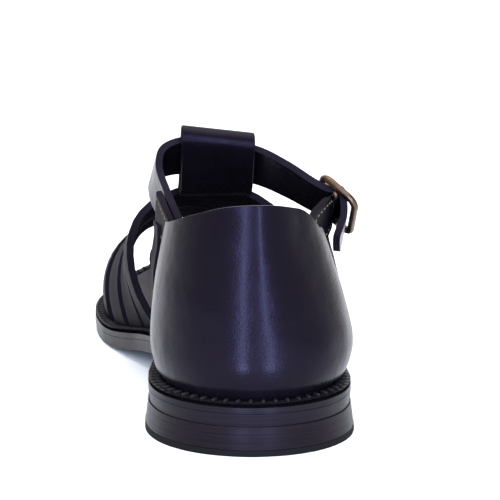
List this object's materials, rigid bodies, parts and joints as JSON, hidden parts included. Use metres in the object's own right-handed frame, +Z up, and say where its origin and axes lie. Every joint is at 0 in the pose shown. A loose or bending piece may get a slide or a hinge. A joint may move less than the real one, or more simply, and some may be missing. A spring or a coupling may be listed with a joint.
{
  "type": "closed-toe sandal",
  "caption": "Right men's black leather sandal with closed heel counter, T-bar cage straps, toe cap, buckled ankle strap and stitched leather sole.",
  "frame": {"origin": "middle of the heel's floor face, on the floor", "axes": "+Y to the toe, +X to the outer side with the buckle, +Z up"},
  "size_m": [0.0966, 0.2872, 0.0967],
  "materials": {
    "upper_leather": "smooth black, polished",
    "sole_leather": "black edge dye, waxed",
    "insole_leather": "matt",
    "stack_leather": "burnished stacked leather",
    "top_piece_rubber": "matt",
    "old_brass": "antique"
  },
  "bodies": {
    "root": {"heel_top_piece": "top_piece_rubber", "heel_stack": "stack_leather", "outsole": "sole_leather", "midsole": "sole_leather", "welt": "sole_leather", "insole": "insole_leather", "upper": "upper_leather", "ankle_strap": "upper_leather", "buckle_frame": "old_brass", "buckle_prong": "old_brass"}
  },
  "joints": []
}
